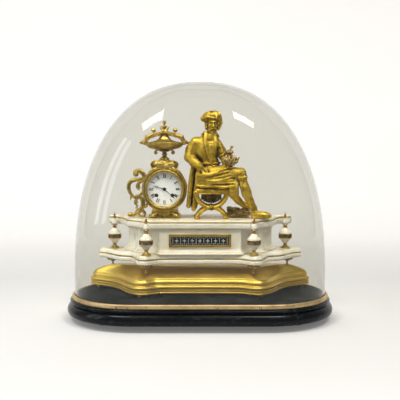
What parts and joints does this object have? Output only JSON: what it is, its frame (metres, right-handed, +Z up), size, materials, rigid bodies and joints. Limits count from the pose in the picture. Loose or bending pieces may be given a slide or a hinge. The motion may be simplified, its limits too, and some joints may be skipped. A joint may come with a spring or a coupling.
{
  "type": "figural mantel clock under glass dome",
  "caption": "Alabaster and gilt mantel clock with a drum dial beside a seated figure, on a giltwood plinth under an oval glass dome.",
  "frame": {"origin": "on the table under the middle of the oval base", "axes": "+X to the right seen from the front, +Y to the back, +Z up; the dial faces -Y"},
  "size_m": [0.608, 0.322, 0.538],
  "materials": {
    "ebonised_wood": "ebonised and polished",
    "black_velvet": "short black pile",
    "giltwood": "burnished gilding over gesso",
    "gilt_metal": "gilt, browned in the recesses",
    "figure_gilt": "gilt spelter, satin",
    "dome_glass": "clear blown glass",
    "crystal": "clear flat glass",
    "alabaster": "polished, faintly translucent",
    "brass": "polished brass",
    "plaque_inlay": "dark ground with a silvery pattern",
    "enamel": "white enamel, black numerals",
    "blued_steel": "blued",
    "steel": "bright steel",
    "bell_metal": "turned bell metal"
  },
  "bodies": {
    "clock": {"wood_base": "ebonised_wood", "base_foot_1": "ebonised_wood", "base_foot_2": "ebonised_wood", "base_foot_3": "ebonised_wood", "base_foot_4": "ebonised_wood", "velvet_platform": "black_velvet", "rim_ring": "giltwood", "gilt_plinth": "giltwood", "gilt_foot_1": "giltwood", "gilt_foot_2": "giltwood", "gilt_foot_3": "giltwood", "gilt_foot_4": "giltwood", "alabaster_base_plate": "alabaster", "alabaster_foot_1": "gilt_metal", "alabaster_foot_2": "gilt_metal", "alabaster_foot_3": "gilt_metal", "alabaster_foot_4": "gilt_metal", "alabaster_plinth": "alabaster", "alabaster_top_plate": "alabaster", "panel_frame": "gilt_metal", "panel_plaque": "plaque_inlay", "urn_foot_1": "gilt_metal", "urn_foot_2": "gilt_metal", "urn_foot_3": "gilt_metal", "urn_foot_4": "gilt_metal", "urn_body_1": "alabaster", "urn_body_2": "alabaster", "urn_body_3": "alabaster", "urn_body_4": "alabaster", "case_plinth": "gilt_metal", "drum_case": "gilt_metal", "case_crest": "gilt_metal", "crest_urn": "gilt_metal", "side_scroll": "gilt_metal", "dial": "enamel", "movement_front_plate": "brass", "movement_back_plate": "brass", "bell": "bell_metal", "stool": "figure_gilt", "figure": "figure_gilt", "ewer": "figure_gilt"},
    "dome": {"glass_dome": "dome_glass"},
    "bezel": {"front_bezel": "gilt_metal", "bezel_glass": "crystal"},
    "back_door": {"rear_door": "brass"},
    "minute": {"minute_hand": "blued_steel"},
    "hour": {"hour_hand": "blued_steel"},
    "going_barrel_body": {"going_barrel": "brass"},
    "strike_barrel_body": {"strike_barrel": "brass"},
    "going_key_arbor": {"going_winding_arbor": "steel"},
    "strike_key_arbor": {"strike_winding_arbor": "steel"},
    "intermediate": {"intermediate_wheel": "brass"},
    "centre": {"centre_wheel": "brass"},
    "third": {"third_wheel": "brass"},
    "escape": {"escape_wheel": "brass"},
    "anchor": {"pallets": "steel"},
    "pendulum_body": {"pendulum": "brass"},
    "strike_second": {"strike_wheel": "brass"},
    "fly_body": {"fly": "brass"},
    "hammer_body": {"hammer": "steel"}
  },
  "joints": [
    {"name": "dome_lift", "type": "slide", "parent": "clock", "child": "dome", "axis": [0, 0, 1], "range_m": [0, 0.55]},
    {"name": "bezel_hinge", "type": "hinge", "parent": "clock", "child": "bezel", "pos_m": [-0.1285, -0.0128, 0.2964], "axis": [0, 0, -1], "range_deg": [0, 105]},
    {"name": "rear_door_hinge", "type": "hinge", "parent": "clock", "child": "back_door", "pos_m": [-0.1288, 0.0588, 0.2964], "axis": [0, 0, 1], "range_deg": [0, 50]},
    {"name": "minute_hand_turn", "type": "hinge", "parent": "clock", "child": "minute", "pos_m": [-0.081, -0.007, 0.2964], "axis": [0, 1, 0], "continuous": true},
    {"name": "hour_hand_turn", "type": "hinge", "parent": "clock", "child": "hour", "pos_m": [-0.081, -0.005, 0.2964], "axis": [0, 1, 0], "continuous": true},
    {"name": "centre_turn", "type": "hinge", "parent": "clock", "child": "centre", "pos_m": [-0.081, 0.01, 0.2964], "axis": [0, 1, 0], "continuous": true},
    {"name": "intermediate_turn", "type": "hinge", "parent": "clock", "child": "intermediate", "pos_m": [-0.06999, 0.01, 0.29844], "axis": [0, 1, 0], "continuous": true},
    {"name": "going_barrel_turn", "type": "hinge", "parent": "clock", "child": "going_barrel_body", "pos_m": [-0.063, 0.01, 0.2824], "axis": [0, 1, 0], "continuous": true},
    {"name": "third_turn", "type": "hinge", "parent": "clock", "child": "third", "pos_m": [-0.07815, 0.01, 0.30704], "axis": [0, 1, 0], "continuous": true},
    {"name": "escape_turn", "type": "hinge", "parent": "clock", "child": "escape", "pos_m": [-0.081, 0.01, 0.31708], "axis": [0, 1, 0], "continuous": true},
    {"name": "pendulum_swing", "type": "hinge", "parent": "clock", "child": "pendulum_body", "pos_m": [-0.081, 0.036, 0.3264], "axis": [0, 1, 0], "range_deg": [-4, 4]},
    {"name": "pallet_swing", "type": "hinge", "parent": "clock", "child": "anchor", "pos_m": [-0.081, 0.01, 0.3264], "axis": [0, 1, 0], "range_deg": [-4, 4]},
    {"name": "going_winding_turn", "type": "hinge", "parent": "clock", "child": "going_key_arbor", "pos_m": [-0.063, 0.01, 0.2824], "axis": [0, 1, 0], "continuous": true},
    {"name": "strike_winding_turn", "type": "hinge", "parent": "clock", "child": "strike_key_arbor", "pos_m": [-0.099, 0.01, 0.2824], "axis": [0, 1, 0], "continuous": true},
    {"name": "strike_barrel_turn", "type": "hinge", "parent": "clock", "child": "strike_barrel_body", "pos_m": [-0.099, 0.01, 0.2824], "axis": [0, 1, 0], "continuous": true},
    {"name": "strike_wheel_turn", "type": "hinge", "parent": "clock", "child": "strike_second", "pos_m": [-0.09201, 0.01, 0.29844], "axis": [0, 1, 0], "continuous": true},
    {"name": "fly_turn", "type": "hinge", "parent": "clock", "child": "fly_body", "pos_m": [-0.09761, 0.01, 0.30814], "axis": [0, 1, 0], "continuous": true},
    {"name": "hammer_swing", "type": "hinge", "parent": "clock", "child": "hammer_body", "pos_m": [-0.101, 0.045, 0.2724], "axis": [0, 1, 0], "range_deg": [-14, 2.5], "stiffness_Nm_per_rad": 0.05}
  ],
  "couplings": [
    {"joint": "hour_hand_turn", "follows": "minute_hand_turn", "ratio": 0.083333},
    {"joint": "centre_turn", "follows": "minute_hand_turn", "ratio": 1},
    {"joint": "intermediate_turn", "follows": "minute_hand_turn", "ratio": -0.2},
    {"joint": "going_barrel_turn", "follows": "minute_hand_turn", "ratio": 0.033333},
    {"joint": "third_turn", "follows": "minute_hand_turn", "ratio": -5},
    {"joint": "escape_turn", "follows": "minute_hand_turn", "ratio": 25},
    {"joint": "pallet_swing", "follows": "pendulum_swing", "ratio": 1},
    {"joint": "strike_wheel_turn", "follows": "strike_barrel_turn", "ratio": -6},
    {"joint": "fly_turn", "follows": "strike_barrel_turn", "ratio": 30}
  ]
}
